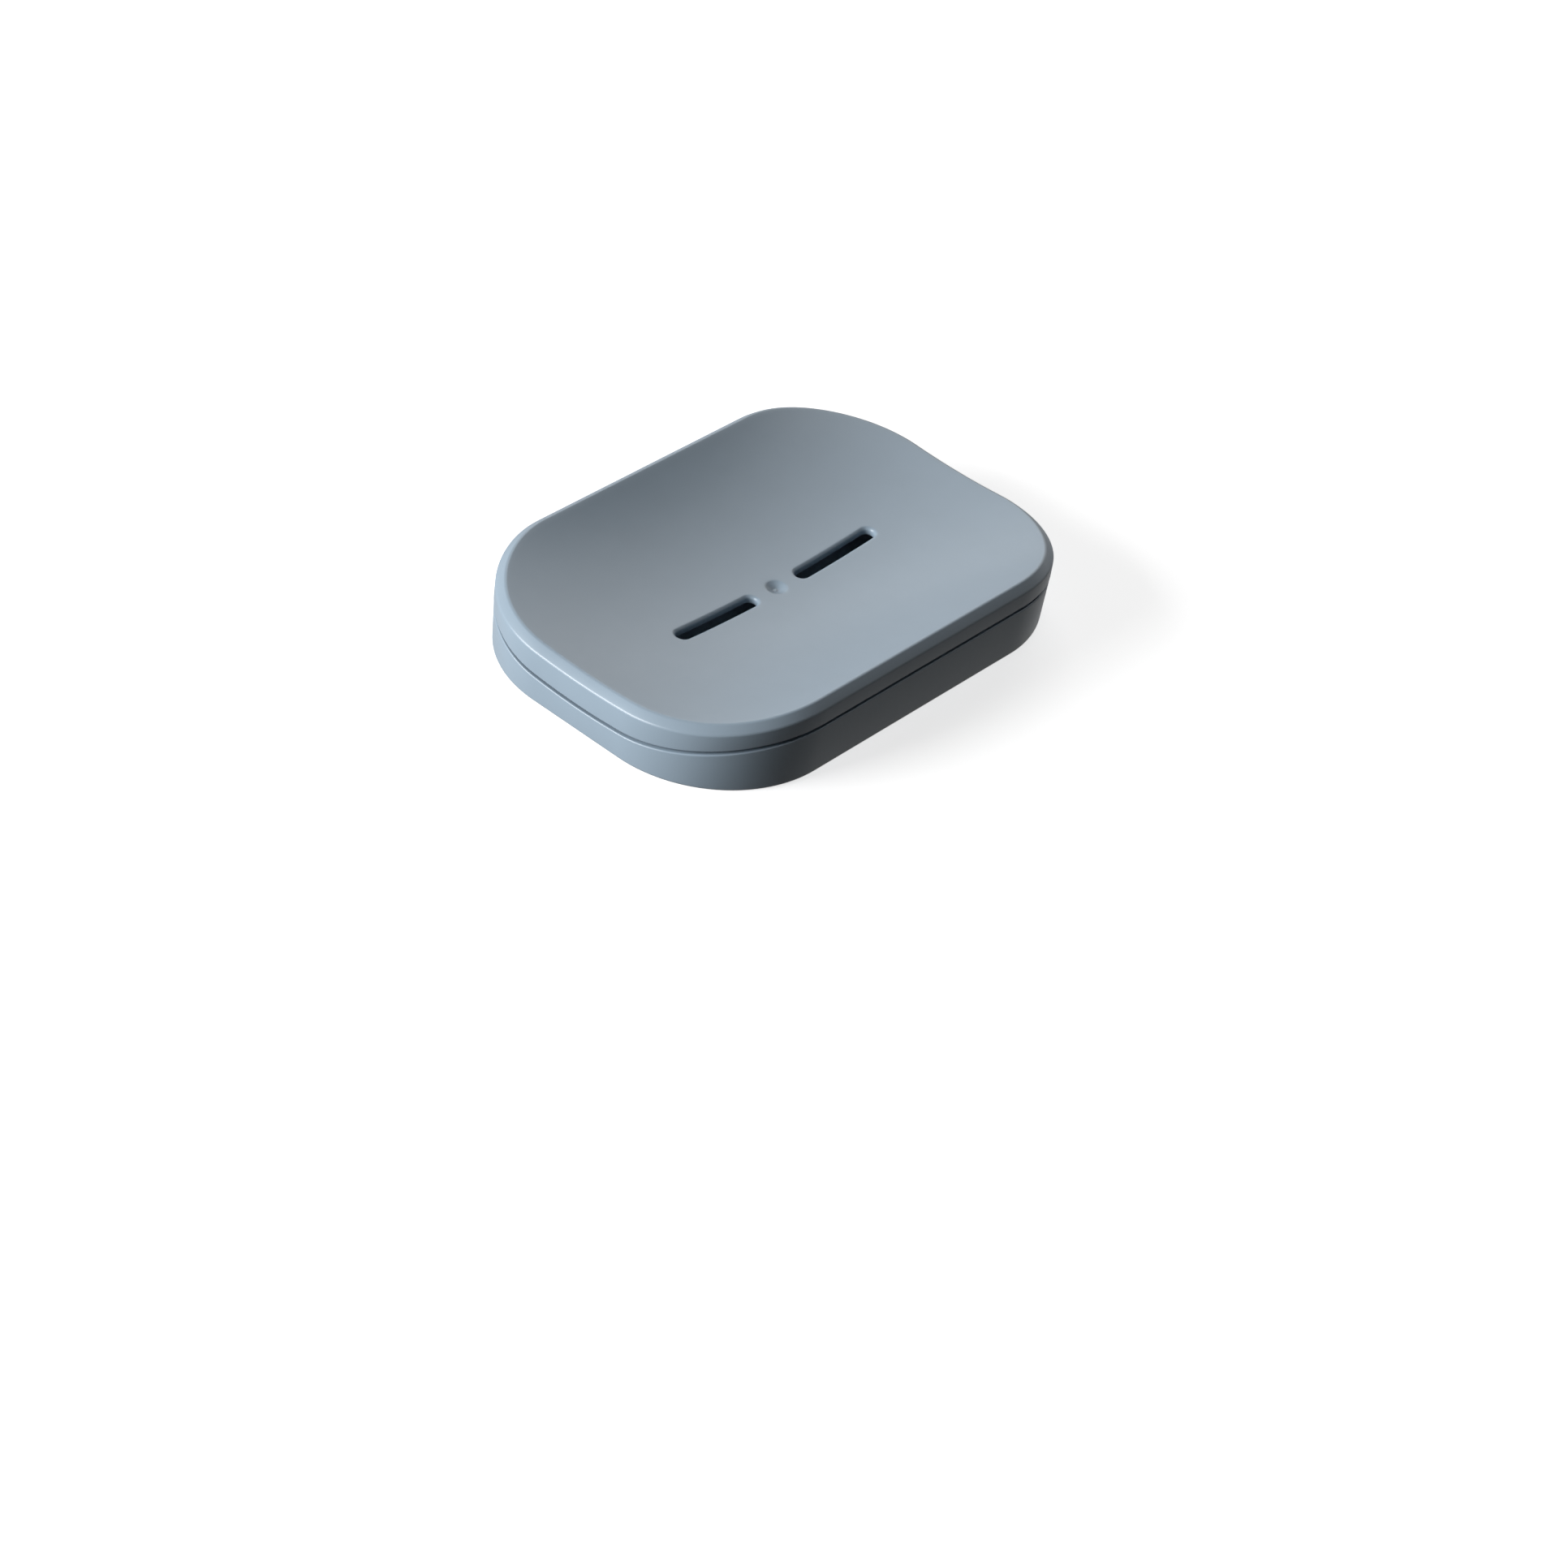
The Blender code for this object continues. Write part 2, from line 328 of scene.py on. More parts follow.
def extrude_ring(bm: BMesh, ring: list[BMEdge], place: Place) -> list[BMEdge]:
    """Extrudes a ring of edges and puts each new vertex in its place.

    Args:
        bm: The mesh.
        ring: The edges to extrude.
        place: Turns a vertex's old place into its new one.

    Returns:
        The new ring.
    """
    grown = bmesh.ops.extrude_edge_only(bm, edges=ring)["geom"]
    fresh = {part for part in grown if isinstance(part, BMVert)}
    for vert in fresh:
        vert.co = place(vert.co)
    return [part for part in grown if isinstance(part, BMEdge) and set(part.verts) <= fresh]


@dataclass(frozen=True)
class Rounding:
    """How far a rounding reaches to either side of its corner, and how finely it is cut."""

    reach: float
    segments: int


@dataclass
class Corner:
    """A sharp corner along some edges, which is rounded once the mesh is whole."""

    edges: list[BMEdge]
    rounding: Rounding

    def round(self, bm: BMesh) -> None:
        """Rounds the corner.

        Args:
            bm: The mesh that has the edges.
        """
        bmesh.ops.bevel(
            bm,
            geom=self.edges,
            offset=self.rounding.reach,
            offset_type="OFFSET",
            affect="EDGES",
            segments=self.rounding.segments,
            profile=0.5,
            material=-1,
            clamp_overlap=False,
        )


def round_corners(bm: BMesh, corners: list[Corner]) -> None:
    """Rounds the corners of a mesh, whose faces are first made to point one way.

    Args:
        bm: The mesh, with no doubled vertices.
        corners: Its sharp corners.
    """
    bmesh.ops.recalc_face_normals(bm, faces=bm.faces)
    for corner in corners:
        corner.round(bm)


def close_ring(bm: BMesh, ring: list[BMEdge], tip: Vector) -> None:
    """Closes a ring with a fan of faces to one point.

    Args:
        bm: The mesh.
        ring: The ring's edges.
        tip: The point.
    """
    last = extrude_ring(bm, ring, lambda p: tip.copy())
    ends = dict.fromkeys(vert for edge in last for vert in edge.verts)
    bmesh.ops.pointmerge(bm, verts=list(ends), merge_co=tip)


def mirror_both_ways(bm: BMesh) -> None:
    """Completes a quarter to the whole, by mirroring it along the length and the width.

    Args:
        bm: The mesh of the quarter where x and y are positive.
    """
    for axis in ("X", "Y"):
        everything = [*bm.verts, *bm.edges, *bm.faces]
        bmesh.ops.mirror(
            bm, geom=everything, axis=axis, matrix=Matrix.Identity(4), merge_dist=MERGE_DISTANCE
        )
    bmesh.ops.remove_doubles(bm, verts=bm.verts, dist=MERGE_DISTANCE)


def add_piece(name: str, bm: BMesh, material: bpy.types.Material) -> bpy.types.Object:
    """Turns a finished mesh into an object with its material and smooth faces.

    Args:
        name: The object's name.
        bm: The mesh, which is freed.
        material: What it is made of.

    Returns:
        The object, linked to the scene.
    """
    bmesh.ops.recalc_face_normals(bm, faces=bm.faces)
    mesh = bpy.data.meshes.new(name)
    bm.to_mesh(mesh)
    bm.free()
    mesh.materials.append(material)
    mesh.shade_smooth()
    piece = bpy.data.objects.new(name, mesh)
    bpy.context.scene.collection.objects.link(piece)
    return piece


# The form that both trays share


@dataclass(frozen=True)
class DishForm:
    """The dish's outline from above and the heights of its plate and seam."""

    half_length: float
    half_width: float
    corner_radius: float = 32.5 * MM
    rim_long_side: float = 20.6 * MM
    rim_short_side: float = 15.7 * MM
    seam_long_side: float = 14.4 * MM
    seam_short_side: float = 7.8 * MM
    centre_height: float = 10.0 * MM
    chamfer_inset: float = 2.2 * MM
    chamfer_drop: float = 1.9 * MM
    short_side_steps: int = 9
    corner_steps: int = 32
    long_side_outer_steps: int = 11
    long_side_inner_steps: int = 28
    long_side_break: float = 9.5 * MM

    @property
    def centre_x(self) -> float:
        """How far the corners' centres lie along the length."""
        return self.half_length - self.corner_radius

    @property
    def centre_y(self) -> float:
        """How far the corners' centres lie across the width."""
        return self.half_width - self.corner_radius

    def inset_point(self, point: Vector, inset: float) -> Vector:
        """Moves a point square to the outline until it lies `inset` inside it.

        Args:
            point: A point near the outline. Its height is kept.
            inset: The distance from the outline.

        Returns:
            The moved point.
        """
        anchor = Vector(
            (
                max(-self.centre_x, min(self.centre_x, point.x)),
                max(-self.centre_y, min(self.centre_y, point.y)),
            )
        )
        away = (point.xy - anchor).normalized() * (self.corner_radius - inset)
        return Vector((anchor.x + away.x, anchor.y + away.y, point.z))

    def plate_height(self, point: Vector) -> float:
        """Works out the plate's height: a trough across the width that also rises to its ends.

        Args:
            point: A point, of which the height isn't used.

        Returns:
            The height of the plate's top there.
        """
        along = (point.x / (self.half_length - self.chamfer_inset)) ** 2
        across = (point.y / (self.half_width - self.chamfer_inset)) ** 2
        middle = self.centre_height + (self.rim_long_side - self.centre_height) * across
        end = self.rim_short_side + (self.rim_long_side - self.rim_short_side) * across
        return middle + (end - middle) * along

    def rim_height(self, point: Vector) -> float:
        """Height of the plate's edge beside a point."""
        return self.plate_height(self.inset_point(point, self.chamfer_inset))

    def seam_height(self, point: Vector, inset: float) -> float:
        """Height of the soap tray's lower edge beside a point that lies `inset` in."""
        across = (point.y / (self.half_width - inset)) ** 2
        return self.seam_short_side + (self.seam_long_side - self.seam_short_side) * across

    def quarter_outline(self, bm: BMesh, inset: float) -> None:
        """Draws a quarter of the outline as a chain, from the end's middle to the long side's.

        Args:
            bm: The mesh that gets the chain.
            inset: How far inside the outline it runs.
        """
        end_x = self.half_length - inset
        side_y = self.half_width - inset
        corner = Vector((self.centre_x, self.centre_y, 0))
        middle_break = Vector((self.long_side_break, side_y, 0))
        here = add_vert(bm, Vector((end_x, 0, 0)))
        here = straight(bm, here, Vector((end_x, self.centre_y, 0)), self.short_side_steps)
        here = quarter_arc(bm, here, corner, self.corner_steps)
        here = straight(bm, here, middle_break, self.long_side_outer_steps)
        straight(bm, here, Vector((0, side_y, 0)), self.long_side_inner_steps)


@dataclass(frozen=True)
class GateMark:
    """The dent where the plastic entered the mould: a shallow cone round the nub that it left.

    Its rings are closer together towards the middle, and a fan closes the innermost one.
    """

    radius: float = 2.75 * MM
    depth: float = 1.2 * MM
    tip_radius: float = 0.3 * MM
    nub_radius: float = 0.42 * MM
    nub_height: float = 0.3 * MM
    nub_steepness: int = 4
    margin: float = 0.8 * MM
    rounding: Rounding = Rounding(0.3 * MM, 6)
    rings: int = 12
    innermost_ring: int = 3
    ring_crowding: int = 2

    @property
    def hole_radius(self) -> float:
        """Radius of the hole that the mark fills, with the level margin round the dent."""
        return self.radius + self.margin

    def sink(self, bm: BMesh, ring: list[BMEdge], height: float, opens: int) -> Corner:
        """Fills a round hole with the dent.

        Args:
            bm: The mesh.
            ring: The hole's edge.
            height: The height of the surface that is dented.
            opens: One if the surface faces up, and minus one if it faces down.

        Returns:
            The corner round the dent.
        """
        reach = math.hypot(self.radius, self.tip_radius) - self.tip_radius

        def cone_point(point: Vector, distance: float) -> Vector:
            """Puts a point on the cone or on its nub.

            Args:
                point: A point in the right direction from the middle.
                distance: How far from the middle the new point lies.

            Returns:
                The new point.
            """
            flat = point.xy.normalized() * distance
            share = (math.hypot(distance, self.tip_radius) - self.tip_radius) / reach
            fall = (distance / self.nub_radius) ** self.nub_steepness
            sunk = self.depth * (1 - share) - self.nub_height * math.exp(-fall)
            return Vector((flat.x, flat.y, height - opens * sunk))

        edge = extrude_ring(bm, ring, lambda p: cone_point(p, self.radius))
        inner = edge
        for step in range(self.rings - 1, self.innermost_ring - 1, -1):
            distance = self.radius * (step / self.rings) ** self.ring_crowding
            inner = extrude_ring(bm, inner, lambda p, d=distance: cone_point(p, d))
        tip = height - opens * (self.depth - self.nub_height)
        close_ring(bm, inner, Vector((0, 0, tip)))
        return Corner(edge, self.rounding)


# The soap tray


@dataclass
class SoapTray:
    """The lift-off tray: a dished plate with two drain slots, inside a chamfered wall."""

    form: DishForm
    plastic: bpy.types.Material
    thickness: float = 2.0 * MM
    wall: float = 2.0 * MM
    slot_middle: float = 21.0 * MM
    slot_half_length: float = 13.55 * MM
    slot_half_width: float = 1.8 * MM
    gate_mark: GateMark = GateMark()
    rim_margin: float = 1.6 * MM
    slot_margin: float = 1.6 * MM
    underside_slot_margin: float = 0.5 * MM
    ring_tolerance: float = 0.1 * MM
    rim_rounding: Rounding = Rounding(0.55 * MM, 8)
    crease_rounding: Rounding = Rounding(0.42 * MM, 5)
    lip_rounding: Rounding = Rounding(0.3 * MM, 6)
    inner_rounding: Rounding = Rounding(0.4 * MM, 4)
    underside_rounding: Rounding = Rounding(0.9 * MM, 5)
    slot_mouth_rounding: Rounding = Rounding(0.9 * MM, 10)
    slot_foot_rounding: Rounding = Rounding(0.25 * MM, 3)
    plate_cuts: int = 29
    slot_end_steps: int = 12
    slot_side_steps: int = 40
    bridge_steps: int = 4
    gate_mark_steps: int = 12
    underside_middle_rings: int = 8

    @property
    def slot_axis_reach(self) -> float:
        """Half the distance between the centres of a slot's two round ends."""
        return self.slot_half_length - self.slot_half_width

    @property
    def inner_crease_drop(self) -> float:
        """How far the inside of the crease lies below it where the wall keeps its thickness."""
        bend = math.atan2(self.form.chamfer_inset, self.form.chamfer_drop)
        return self.wall * math.tan(bend / 2)

    def build(self) -> bpy.types.Object:
        """Builds the tray in place of its CAD node.

        Returns:
            The tray.
        """
        bm = bmesh.new()
        self._plate_side(bm, self.rim_margin, self.slot_margin, drop=0)
        underside_margin = self.inner_crease_drop + self.rim_margin
        self._plate_side(bm, underside_margin, self.underside_slot_margin, self.thickness)
        corners = [*self._rim(bm), *self._slots(bm)]
        mark_ring = self._open_ring(bm, self._by_gate_mark, top=True)
        corners.append(self.gate_mark.sink(bm, mark_ring, self.form.centre_height, opens=1))
        self._underside_middle(bm)
        bmesh.ops.remove_doubles(bm, verts=bm.verts, dist=MERGE_DISTANCE)
        round_corners(bm, corners)
        tray = add_piece("soap_tray_shell", bm, self.plastic)
        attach(tray, Body.SOAP_TRAY.value)
        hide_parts("soap_tray")
        return tray

    def _plate_side(self, bm: BMesh, rim_margin: float, slot_margin: float, drop: float) -> None:
        """Adds the top or the underside of the plate, with holes for the slots and the gate mark.

        Args:
            bm: The mesh that gets it.
            rim_margin: How far inside the plate's edge it ends.
            slot_margin: How far from the slots it ends.
            drop: How far below the plate's top it lies.
        """
        quarter = bmesh.new()
        self._inner_chain(quarter, slot_margin)
        self.form.quarter_outline(quarter, self.form.chamfer_inset + rim_margin)
        spokes = bmesh.ops.bridge_loops(quarter, edges=quarter.edges[:], twist_offset=0)["edges"]
        bmesh.ops.subdivide_edges(quarter, edges=spokes, cuts=self.plate_cuts)
        mirror_both_ways(quarter)
        for vert in quarter.verts:
            vert.co.z = self.form.plate_height(vert.co) - drop
        carrier = bpy.data.meshes.new("plate_side")
        quarter.to_mesh(carrier)
        quarter.free()
        bm.from_mesh(carrier)
        bpy.data.meshes.remove(carrier)

    def _inner_chain(self, bm: BMesh, slot_margin: float) -> None:
        """Draws the chain round half a slot, along to the gate mark and round a quarter of it.

        Args:
            bm: The mesh that gets the chain.
            slot_margin: How far outside the slot it runs.
        """
        reach = self.slot_axis_reach
        spread = self.slot_half_width + slot_margin
        far_end = Vector((self.slot_middle + reach, 0, 0))
        near_end = Vector((self.slot_middle - reach, 0, 0))
        mark_edge = Vector((self.gate_mark.hole_radius, 0, 0))
        here = add_vert(bm, far_end + Vector((spread, 0, 0)))
        here = quarter_arc(bm, here, far_end, self.slot_end_steps)
        here = straight(bm, here, near_end + Vector((0, spread, 0)), self.slot_side_steps)
        here = quarter_arc(bm, here, near_end, self.slot_end_steps)
        here = straight(bm, here, mark_edge, self.bridge_steps)
        quarter_arc(bm, here, Vector((0, 0, 0)), self.gate_mark_steps)

    def _open_ring(self, bm: BMesh, belongs: Callable[[Vector], bool], top: bool) -> list[BMEdge]:
        """Finds the open edges round one hole or round the plate.

        Args:
            bm: The mesh.
            belongs: Tells from an edge's middle whether it is on the ring.
            top: Whether the ring is on the plate's top, rather than on its underside.

        Returns:
            The ring's edges.
        """
        ring = []
        for edge in bm.edges:
            middle = (edge.verts[0].co + edge.verts[1].co) / 2
            depth = self.form.plate_height(middle) - middle.z
            if edge.is_boundary and (depth < self.thickness / 2) == top and belongs(middle):
                ring.append(edge)
        return ring

    def _by_gate_mark(self, point: Vector) -> bool:
        """Whether a point is on the ring round the gate mark."""
        return point.xy.length < self.gate_mark.hole_radius + self.ring_tolerance

    def _by_slot(self, point: Vector) -> bool:
        """Tells whether a point is on a ring round a slot.

        Args:
            point: A point on one of the plate's open edges.

        Returns:
            Whether it is beside a slot, and not beside the gate mark.
        """
        beside = abs(abs(point.x) - self.slot_middle) < self.slot_half_length + self.slot_margin
        spread = self.slot_half_width + self.slot_margin + self.ring_tolerance
        return beside and abs(point.y) < spread and not self._by_gate_mark(point)

    def _by_rim(self, point: Vector) -> bool:
        """Whether a point is on the ring along the plate's edge."""
        return not self._by_gate_mark(point) and not self._by_slot(point)

    def _slot_point(self, point: Vector, growth: float, drop: float) -> Vector:
        """Puts a point `growth` outside the nearer slot's throat and `drop` below the plate.

        Args:
            point: A point on a ring round the slot.
            growth: The distance from the throat.
            drop: The depth below the plate's top.

        Returns:
            The new place.
        """
        middle = math.copysign(self.slot_middle, point.x)
        reach = self.slot_axis_reach
        anchor = Vector((max(middle - reach, min(middle + reach, point.x)), 0))
        away = (point.xy - anchor).normalized() * (self.slot_half_width + growth)
        return self._below_plate(anchor + away, drop)

    def _below_plate(self, point: Vector, drop: float) -> Vector:
        """The point above or below another one that lies `drop` below the plate's top."""
        return at_height(point, self.form.plate_height(point) - drop)

    def _plate_point(self, point: Vector, inset: float, drop: float) -> Vector:
        """Puts a point `inset` inside the outline and `drop` below the plate's top there."""
        return self._below_plate(self.form.inset_point(point, inset), drop)

    def _rim_point(self, point: Vector, inset: float, drop: float) -> Vector:
        """Puts a point `inset` inside the outline and `drop` below the plate's edge beside it."""
        height = self.form.rim_height(point) - drop
        return at_height(self.form.inset_point(point, inset), height)

    def _seam_point(self, point: Vector, inset: float) -> Vector:
        """Puts a point `inset` inside the outline, at the tray's lower edge."""
        place = self.form.inset_point(point, inset)
        return at_height(place, self.form.seam_height(place, inset))

    def _rim(self, bm: BMesh) -> list[Corner]:
        """Adds the chamfer, the wall and the bend on its inside.

        Args:
            bm: The mesh that gets them.

        Returns:
            Their corners.
        """
        inset = self.form.chamfer_inset
        drop = self.form.chamfer_drop
        inner_inset = inset + self.inner_crease_drop
        inner_drop = drop + self.inner_crease_drop
        edge = inner_inset + self.rim_margin
        start = self._open_ring(bm, self._by_rim, top=True)
        rim = extrude_ring(bm, start, lambda p: self._plate_point(p, inset, 0))
        crease = extrude_ring(bm, rim, lambda p: self._rim_point(p, 0, drop))
        lip = extrude_ring(bm, crease, lambda p: self._seam_point(p, 0))
        foot = extrude_ring(bm, lip, lambda p: self._seam_point(p, self.wall))
        bend = extrude_ring(bm, foot, lambda p: self._rim_point(p, self.wall, inner_drop))
        underside = extrude_ring(
            bm, bend, lambda p: self._plate_point(p, inner_inset, self.thickness)
        )
        extrude_ring(bm, underside, lambda p: self._plate_point(p, edge, self.thickness))
        return [
            Corner(rim, self.rim_rounding),
            Corner(crease, self.crease_rounding),
            Corner(lip, self.lip_rounding),
            Corner(foot, self.inner_rounding),
            Corner(bend, self.inner_rounding),
            Corner(underside, self.underside_rounding),
        ]

    def _slots(self, bm: BMesh) -> list[Corner]:
        """Adds the throats of the drain slots.

        Args:
            bm: The mesh that gets them.

        Returns:
            The corners of their mouths and feet.
        """
        start = self._open_ring(bm, self._by_slot, top=True)
        mouth = extrude_ring(bm, start, lambda p: self._slot_point(p, 0, 0))
        throat = extrude_ring(bm, mouth, lambda p: self._slot_point(p, 0, self.thickness))
        margin = self.underside_slot_margin
        extrude_ring(bm, throat, lambda p: self._slot_point(p, margin, self.thickness))
        return [Corner(mouth, self.slot_mouth_rounding), Corner(throat, self.slot_foot_rounding)]

    def _underside_middle(self, bm: BMesh) -> None:
        """Closes the underside below the gate mark.

        Args:
            bm: The mesh that has the hole.
        """
        ring = self._open_ring(bm, self._by_gate_mark, top=False)
        for step in range(self.underside_middle_rings - 1, 0, -1):
            share = step / (step + 1)
            ring = extrude_ring(bm, ring, lambda p, s=share: self._shrunk(p, s))
        close_ring(bm, ring, Vector((0, 0, self.form.centre_height - self.thickness)))

    def _shrunk(self, point: Vector, share: float) -> Vector:
        """Moves a point of the underside towards the middle, and keeps it on the underside."""
        return self._below_plate(Vector((point.x * share, point.y * share)), self.thickness)


# The water tray


@dataclass
class WaterTray:
    """The lower tray: a floor on a flat foot, a wall up to the seam, and eight support ribs."""

    form: DishForm
    plastic: bpy.types.Material
    setback: float = 0.1 * MM
    wall: float = 2.0 * MM
    draft: float = 0.5 * MM
    seam_gap: float = 1.0 * MM
    floor_thickness: float = 1.9 * MM
    foot_recess: float = 0.6 * MM
    foot_width: float = 5.0 * MM
    floor_margin: float = 4.5 * MM
    floor_fillet: Rounding = Rounding(3.0 * MM, 8)
    inner_edge_rounding: Rounding = Rounding(0.4 * MM, 5)
    outer_edge_rounding: Rounding = Rounding(0.4 * MM, 6)
    foot_rounding: Rounding = Rounding(1.0 * MM, 6)
    recess_rounding: Rounding = Rounding(0.25 * MM, 3)
    gate_mark: GateMark = GateMark()
    soap_plate_thickness: float = 2.0 * MM
    soap_wall: float = 2.0 * MM
    rib_thickness: float = 1.8 * MM
    rib_reach: float = 9.5 * MM
    rib_top_inset: float = 4.2 * MM
    rib_lead_in: float = 1.8 * MM
    rib_step_down: float = 1.0 * MM
    rib_place_long_side: float = 26.0 * MM
    rib_place_short_side: float = 9.0 * MM
    rib_rounding: Rounding = Rounding(0.25 * MM, 3)
    rib_top_steps: int = 8
    side_clearance: float = 0.4 * MM
    rest_gap: float = 0.3 * MM
    # From these cosines on, an edge counts as running through a rib, and a face as square.
    crossing_from: float = 0.5
    square_from: float = 0.99
    crisp_angle: float = math.radians(40)

    @property
    def floor_height(self) -> float:
        """Height of the floor's top."""
        return self.foot_recess + self.floor_thickness

    def build(self) -> bpy.types.Object:
        """Builds the tray in place of its CAD node.

        Returns:
            The tray.
        """
        tray = add_piece("water_tray_shell", self._shell(), self.plastic)
        for name, bm in (
            ("long_side_ribs", self._ribs(self.rib_place_long_side, along_length=True)),
            ("short_side_ribs", self._ribs(self.rib_place_short_side, along_length=False)),
        ):
            ribs = add_piece(name, bm, self.plastic)
            self._flatten(ribs)
            self._join(tray, ribs)
        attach(tray, Body.WATER_TRAY.value)
        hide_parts("water_tray")
        return tray

    def _level(self, point: Vector, inset: float, height: float) -> Vector:
        """Puts a point `inset` inside the outline, at a height."""
        return at_height(self.form.inset_point(point, inset), height)

    def _edge(self, point: Vector, inset: float) -> Vector:
        """Puts a point `inset` inside the outline, at the tray's upper edge."""
        place = self.form.inset_point(point, inset)
        return at_height(place, self.form.seam_height(place, inset) - self.seam_gap)

    def _mark_edge(self, point: Vector) -> Vector:
        """Puts a point on the circle round the gate mark, in the ceiling of the foot's recess."""
        return at_height(point.xy.normalized() * self.gate_mark.hole_radius, self.foot_recess)

    def _shell(self) -> BMesh:
        """Extrudes the tray's profile ring by ring from the edge of its floor.

        Returns:
            The closed shell, without the ribs.
        """
        inside = self.setback + self.wall
        foot = self.setback + self.draft
        recess = foot + self.foot_width
        floor, roof = self.floor_height, self.foot_recess
        bm = bmesh.new()
        self.form.quarter_outline(bm, inside + self.floor_margin)
        mirror_both_ways(bm)
        for vert in bm.verts:
            vert.co.z = floor
        floor_edge = bm.edges[:]
        corner = extrude_ring(
            bm, floor_edge, lambda p: self._level(p, inside + self.draft, floor)
        )
        inner = extrude_ring(bm, corner, lambda p: self._edge(p, inside))
        outer = extrude_ring(bm, inner, lambda p: self._edge(p, self.setback))
        base = extrude_ring(bm, outer, lambda p: self._level(p, foot, 0))
        step = extrude_ring(bm, base, lambda p: self._level(p, recess, 0))
        ceiling = extrude_ring(bm, step, lambda p: self._level(p, recess + roof, roof))
        rest = extrude_ring(
            bm, ceiling, lambda p: self._level(p, recess + self.floor_margin, roof)
        )
        bmesh.ops.contextual_create(bm, geom=floor_edge)
        mark_ring = extrude_ring(bm, rest, self._mark_edge)
        mark = self.gate_mark.sink(bm, mark_ring, roof, opens=-1)
        corners = [
            Corner(corner, self.floor_fillet),
            Corner(inner, self.inner_edge_rounding),
            Corner(outer, self.outer_edge_rounding),
            Corner(base, self.foot_rounding),
            Corner(step, self.recess_rounding),
            Corner(ceiling, self.recess_rounding),
            mark,
        ]
        round_corners(bm, corners)
        return bm

    def _rib_profile(self, along: float, along_length: bool) -> list[Vector]:
        """Lays out the corners of one rib's side.

        Args:
            along: The rib's place along its side of the dish.
            along_length: Whether it stands on a long side, rather than on a short one.

        Returns:
            The corners, in order.
        """
        form = self.form

        def place(inset: float) -> Vector:
            """Finds a point of the rib's middle plane.

            Args:
                inset: How far inside the outline it lies.

            Returns:
                The point, on the ground.
            """
            if along_length:
                return Vector((along, form.half_width - inset, 0))
            return Vector((form.half_length - inset, along, 0))

        buried = self.setback + self.wall / 2
        free_edge = self.soap_wall + self.side_clearance
        foot = self.floor_height - self.floor_thickness / 2
        seam = form.seam_height(place(0), 0)
        step_down = seam - self.seam_gap - self.rib_step_down
        corners = [(buried, foot), (self.rib_reach, foot)]
        for step in range(self.rib_top_steps + 1):
            share = step / self.rib_top_steps
            inset = self.rib_reach + (self.rib_top_inset - self.rib_reach) * share
            top = form.plate_height(place(inset)) - self.soap_plate_thickness - self.rest_gap
            corners.append((inset, top))
        corners.append((free_edge, seam + self.rib_lead_in))
        corners += [(free_edge, step_down), (buried, step_down)]
        return [at_height(place(inset), height) for inset, height in corners]

    def _ribs(self, along: float, along_length: bool) -> BMesh:
        """Makes the four ribs of one kind of side.

        Args:
            along: Their place along the side, from its middle.
            along_length: Whether they stand on the long sides.

        Returns:
            The four ribs as closed bodies.
        """
        across = Vector((1, 0, 0)) if along_length else Vector((0, 1, 0))
        bm = bmesh.new()
        corners = self._rib_profile(along, along_length)
        first = add_vert(bm, corners[0] - across * self.rib_thickness / 2)
        here = first
        for before, corner in zip(corners, corners[1:]):
            there = bmesh.ops.extrude_vert_indiv(bm, verts=[here])["verts"][0]
            there.co += corner - before
            here = there
        bmesh.ops.contextual_create(bm, geom=[here, first])
        side = bmesh.ops.edgeloop_fill(bm, edges=bm.edges[:])["faces"]
        body = bmesh.ops.extrude_face_region(bm, geom=side, use_keep_orig=True)["geom"]
        fresh = [part for part in body if isinstance(part, BMVert)]
        bmesh.ops.translate(bm, verts=fresh, vec=across * self.rib_thickness)
        rims = [edge for edge in bm.edges if self._is_rib_rim(edge, across)]
        round_corners(bm, [Corner(rims, self.rib_rounding)])
        mirror_both_ways(bm)
        return bm

    def _is_rib_rim(self, edge: BMEdge, across: Vector) -> bool:
        """Whether an edge runs round one of a rib's two sides, rather than through it."""
        run = (edge.verts[1].co - edge.verts[0].co).normalized()
        return abs(run.dot(across)) < self.crossing_from

    def _flatten(self, ribs: bpy.types.Object) -> None:
        """Shades the ribs' square faces flat, and leaves their rounded edges smooth."""
        for face in ribs.data.polygons:
            face.use_smooth = max(abs(part) for part in face.normal) < self.square_from

    def _join(self, tray: bpy.types.Object, ribs: bpy.types.Object) -> None:
        """Makes some ribs one body with the tray.

        Args:
            tray: The tray, which gets the result.
            ribs: The ribs, which are removed.
        """
        union = tray.modifiers.new("ribs", "BOOLEAN")
        union.operation = "UNION"
        union.solver = "EXACT"
        union.object = ribs
        graph = bpy.context.evaluated_depsgraph_get()
        joined = bpy.data.meshes.new_from_object(tray.evaluated_get(graph), depsgraph=graph)
        tray.modifiers.clear()
        joined.set_sharp_from_angle(angle=self.crisp_angle)
        tray.data = joined
        bpy.data.objects.remove(ribs)


# Camera, floor and light


